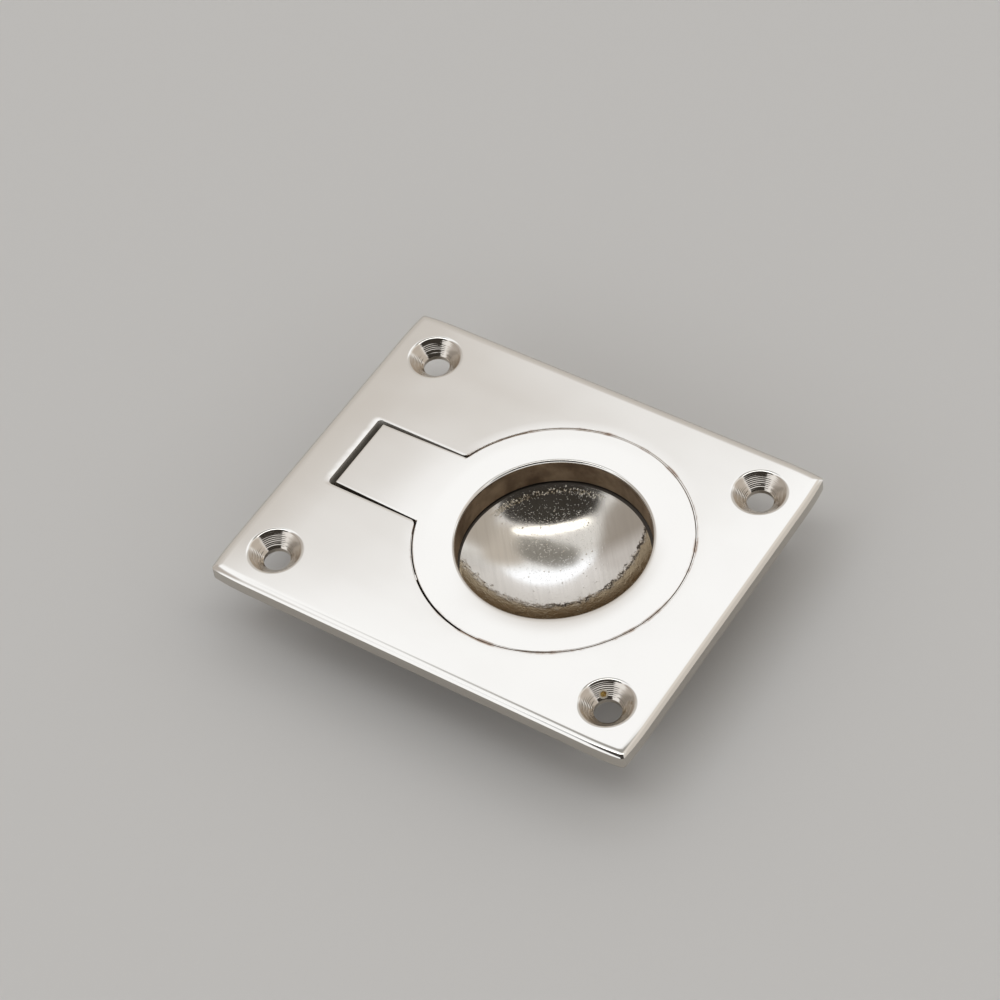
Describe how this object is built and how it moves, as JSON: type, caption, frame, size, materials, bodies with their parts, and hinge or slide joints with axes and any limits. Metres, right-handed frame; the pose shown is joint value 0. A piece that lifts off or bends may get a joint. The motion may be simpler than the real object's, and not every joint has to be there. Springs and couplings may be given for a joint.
{
  "type": "recessed ring pull handle",
  "caption": "Flush ring pull: a rectangular plate with corner screw holes, a round finger bowl, and a ring with a tab that lies in a keyhole pocket and lifts on a pin.",
  "frame": {"origin": "centre of the screw hole pattern, on the plate's back face", "axes": "+Z out of the plate's front face, +X along the plate from the tab to the ring"},
  "size_m": [0.0636, 0.051, 0.0109],
  "materials": {
    "nickel_plate": "cast brass, polished and plated with nickel",
    "pin_steel": "drawn steel wire"
  },
  "bodies": {
    "plate": {"back_plate": "nickel_plate", "hinge_pin": "pin_steel"},
    "ring": {"ring_pull": "nickel_plate"}
  },
  "joints": [
    {"name": "ring_hinge", "type": "hinge", "parent": "plate", "child": "ring", "pos_m": [-0.0214, 0, -0.0005], "axis": [0, -1, 0], "range_deg": [0, 96]}
  ]
}
